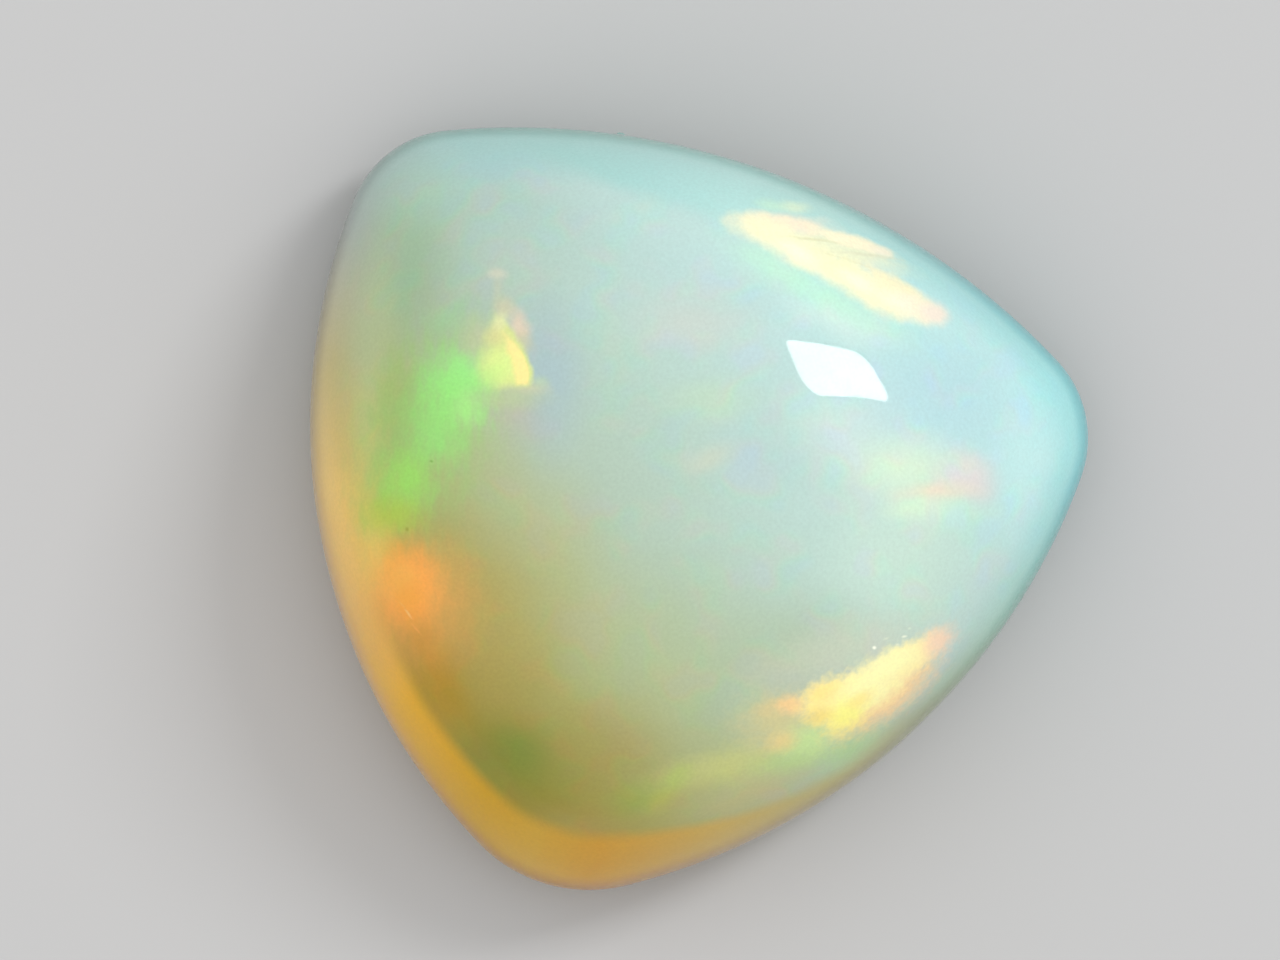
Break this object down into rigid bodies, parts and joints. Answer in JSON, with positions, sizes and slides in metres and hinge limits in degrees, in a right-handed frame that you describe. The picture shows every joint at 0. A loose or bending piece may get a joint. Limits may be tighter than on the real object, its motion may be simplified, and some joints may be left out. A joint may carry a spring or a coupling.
{
  "type": "opal cabochon",
  "caption": "Polished opal cabochon with a rounded-triangle outline, a high dome and a flat bevelled back, for setting in a bezel.",
  "frame": {"origin": "middle of the outline's box, on the plane of the flat back", "axes": "+Z out of the dome, away from the flat back; +X towards the pointed right-hand corner, as the stone lies in the picture; +Y up the picture"},
  "size_m": [0.012, 0.0118, 0.0053],
  "materials": {
    "opal": "high polish, milky translucent body, pale aqua to honey, with green, orange and yellow play of colour"
  },
  "bodies": {
    "root": {"opal_cabochon": "opal"}
  },
  "joints": []
}
